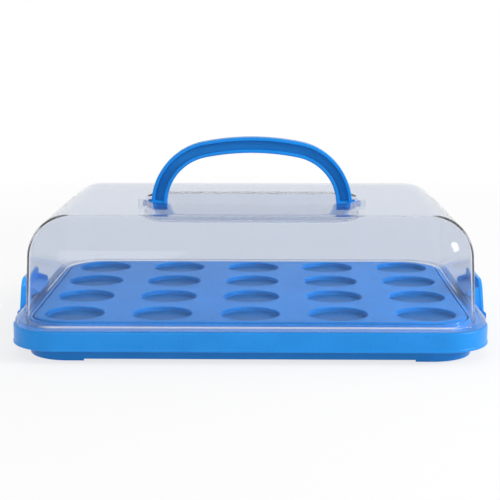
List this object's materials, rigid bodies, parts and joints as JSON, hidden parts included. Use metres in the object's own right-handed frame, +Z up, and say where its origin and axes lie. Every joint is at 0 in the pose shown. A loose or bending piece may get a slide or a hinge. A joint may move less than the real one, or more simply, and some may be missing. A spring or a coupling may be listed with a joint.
{
  "type": "cake carrier",
  "caption": "Rectangular cake carrier: blue base with a welled drop-in tray, clear domed cover, arched swing handle and a hinged latch at each short end.",
  "frame": {"origin": "on the ground under the middle of the carrier", "axes": "+X along the carrier, +Y from front to back, +Z up"},
  "size_m": [0.389, 0.276, 0.159],
  "materials": {
    "base_plastic": "gloss blue polypropylene",
    "tray_plastic": "gloss blue polypropylene",
    "clear_plastic": "clear, slightly milky polypropylene",
    "handle_plastic": "gloss blue polypropylene",
    "latch_plastic": "gloss blue polypropylene"
  },
  "bodies": {
    "base": {"base_tray": "base_plastic"},
    "tray": {"cup_tray": "tray_plastic"},
    "cover": {"cover": "clear_plastic"},
    "handle": {"handle": "handle_plastic"},
    "left_latch": {"left_latch": "latch_plastic"},
    "right_latch": {"right_latch": "latch_plastic"}
  },
  "joints": [
    {"name": "cover_lift", "type": "slide", "parent": "base", "child": "cover", "axis": [0, 0, 1], "range_m": [0, 0.24]},
    {"name": "tray_lift", "type": "slide", "parent": "base", "child": "tray", "axis": [0, 0, 1], "range_m": [0, 0.035]},
    {"name": "handle_swing", "type": "hinge", "parent": "cover", "child": "handle", "pos_m": [0, 0, 0.102], "axis": [1, 0, 0], "range_deg": [-68, 68]},
    {"name": "left_latch_swing", "type": "hinge", "parent": "base", "child": "left_latch", "pos_m": [-0.1899, 0, 0.013], "axis": [0, -1, 0], "range_deg": [0, 100]},
    {"name": "right_latch_swing", "type": "hinge", "parent": "base", "child": "right_latch", "pos_m": [0.1899, 0, 0.013], "axis": [0, 1, 0], "range_deg": [0, 100]}
  ]
}
